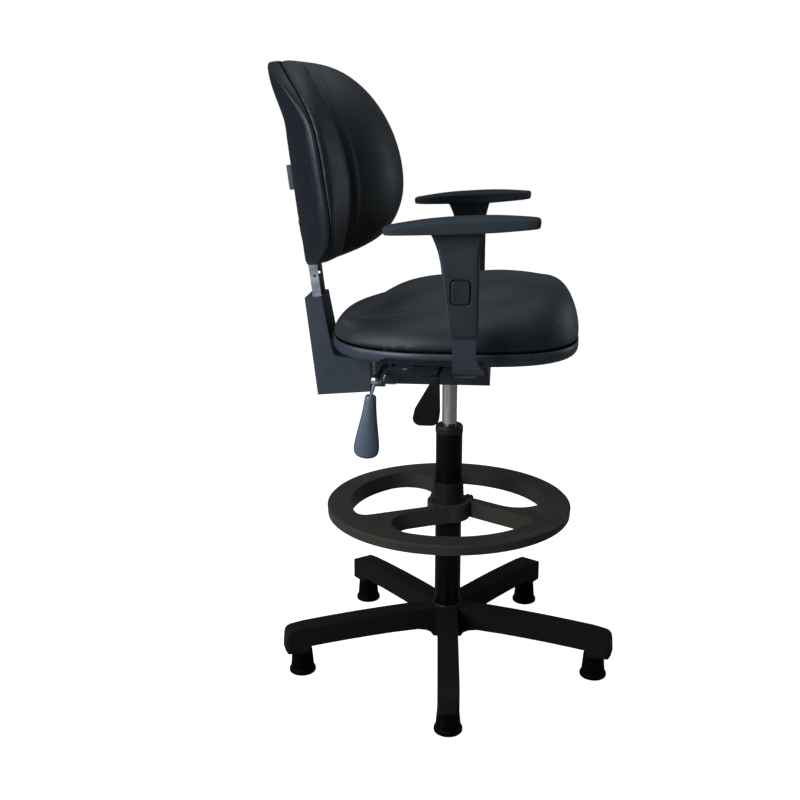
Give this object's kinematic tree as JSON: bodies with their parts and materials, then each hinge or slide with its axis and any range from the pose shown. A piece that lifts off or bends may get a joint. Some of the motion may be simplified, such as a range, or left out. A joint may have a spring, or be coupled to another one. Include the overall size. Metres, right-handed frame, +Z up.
{
  "type": "drafting chair",
  "caption": "Drafting chair: star base on glides, gas column with foot ring, padded seat and tilting height-adjustable backrest, adjustable arms.",
  "frame": {"origin": "on the column axis at floor level, under the middle of the chair's footprint", "axes": "+X is the front of the chair, +Y the sitter's left, +Z up; the levers are on the sitter's right, -Y"},
  "size_m": [0.6233, 0.676, 1.1229],
  "materials": {
    "base_plastic": "satin",
    "glide_plastic": "matte",
    "ring_plastic": "satin",
    "guide_plastic": "satin",
    "shell_plastic": "satin",
    "cover_plastic": "satin",
    "sleeve_plastic": "satin",
    "button_plastic": "satin",
    "paddle_plastic": "satin",
    "handle_plastic": "satin",
    "pad_urethane": "satin",
    "seat_vinyl": "satin",
    "back_vinyl": "satin",
    "plywood": "matte",
    "chrome": "polished",
    "zinc_steel": "satin",
    "bearing_steel": "satin",
    "black_steel": "satin",
    "column_paint": "satin",
    "collar_paint": "satin",
    "mechanism_paint": "satin",
    "bracket_paint": "satin"
  },
  "bodies": {
    "base": {"star_base": "base_plastic", "glide_1": "glide_plastic", "glide_2": "glide_plastic", "glide_3": "glide_plastic", "glide_4": "glide_plastic", "glide_5": "glide_plastic", "glide_pins": "zinc_steel", "hub_sleeve": "black_steel", "column_tube": "column_paint", "column_guide": "guide_plastic", "thrust_bearing": "bearing_steel"},
    "swivel": {"piston_rod": "bearing_steel", "retaining_clip": "zinc_steel", "piston_head": "guide_plastic"},
    "ring": {"foot_ring": "ring_plastic", "ring_collar": "collar_paint"},
    "ring_screw": {"ring_knob": "guide_plastic"},
    "seat": {"gas_cylinder": "chrome", "cylinder_gland": "guide_plastic", "mechanism_tray": "mechanism_paint", "cone_socket": "black_steel", "tilt_cheeks": "black_steel", "rear_spacer": "guide_plastic", "seat_pan": "cover_plastic", "seat_board": "plywood", "seat_cushion": "seat_vinyl", "seat_bolts": "zinc_steel", "tee_nuts": "zinc_steel", "lever_bracket": "zinc_steel", "tilt_bolt": "chrome", "pivot_shaft": "zinc_steel", "arm_bracket_left": "bracket_paint", "arm_bracket_right": "bracket_paint"},
    "release": {"release_pin": "bearing_steel"},
    "height_handle": {"height_lever": "black_steel", "lever_paddle": "paddle_plastic"},
    "tilt_clamp": {"tilt_lever": "chrome", "tilt_handle": "handle_plastic"},
    "back_arm": {"tilt_arm": "black_steel", "upright_channel": "zinc_steel", "back_cover": "cover_plastic", "cover_screws": "zinc_steel"},
    "backrest": {"back_shell": "shell_plastic", "back_board": "plywood", "back_cushion": "back_vinyl", "ratchet_housing": "guide_plastic", "ratchet_cap": "guide_plastic", "back_screws": "zinc_steel"},
    "arm_left": {"arm_sleeve_left": "sleeve_plastic", "arm_pad_left": "pad_urethane", "pad_screws_left": "zinc_steel"},
    "arm_right": {"arm_sleeve_right": "sleeve_plastic", "arm_pad_right": "pad_urethane", "pad_screws_right": "zinc_steel"},
    "button_left": {"arm_button_left": "button_plastic"},
    "button_right": {"arm_button_right": "button_plastic"}
  },
  "joints": [
    {"name": "seat_swivel", "type": "hinge", "parent": "base", "child": "swivel", "pos_m": [0, 0, 0], "axis": [0, 0, 1], "continuous": true},
    {"name": "seat_lift", "type": "slide", "parent": "swivel", "child": "seat", "axis": [0, 0, 1], "range_m": [-0.07, 0.165]},
    {"name": "ring_height", "type": "slide", "parent": "base", "child": "ring", "axis": [0, 0, 1], "range_m": [-0.15, 0.04]},
    {"name": "ring_knob_turn", "type": "hinge", "parent": "ring", "child": "ring_screw", "pos_m": [0, 0, 0.299], "axis": [0.6157, 0.788, 0], "range_deg": [0, 360]},
    {"name": "height_lever_turn", "type": "hinge", "parent": "seat", "child": "height_handle", "pos_m": [0, -0.088, 0.604], "axis": [-1, 0, 0], "range_deg": [0, 2], "stiffness_Nm_per_rad": 60},
    {"name": "release_slide", "type": "slide", "parent": "seat", "child": "release", "axis": [0, 0, -1], "range_m": [0, 0.0032]},
    {"name": "tilt_lever_turn", "type": "hinge", "parent": "seat", "child": "tilt_clamp", "pos_m": [-0.12, -0.158, 0.587], "axis": [0, -1, 0], "range_deg": [0, 45]},
    {"name": "back_tilt", "type": "hinge", "parent": "seat", "child": "back_arm", "pos_m": [-0.112, 0, 0.56], "axis": [0, -1, 0], "range_deg": [-3, 17]},
    {"name": "back_height", "type": "slide", "parent": "back_arm", "child": "backrest", "axis": [-0.1219, 0, 0.9925], "range_m": [-0.04, 0.045]},
    {"name": "arm_left_height", "type": "slide", "parent": "seat", "child": "arm_left", "axis": [0, 0, 1], "range_m": [-0.03, 0.035]},
    {"name": "arm_right_height", "type": "slide", "parent": "seat", "child": "arm_right", "axis": [0, 0, 1], "range_m": [-0.03, 0.035]},
    {"name": "button_left_press", "type": "slide", "parent": "arm_left", "child": "button_left", "axis": [0, -1, 0], "range_m": [0, 0.003], "stiffness_N_per_m": 500},
    {"name": "button_right_press", "type": "slide", "parent": "arm_right", "child": "button_right", "axis": [0, 1, 0], "range_m": [0, 0.003], "stiffness_N_per_m": 500}
  ],
  "couplings": [
    {"joint": "release_slide", "follows": "height_lever_turn", "m_per_rad": 0.088}
  ]
}
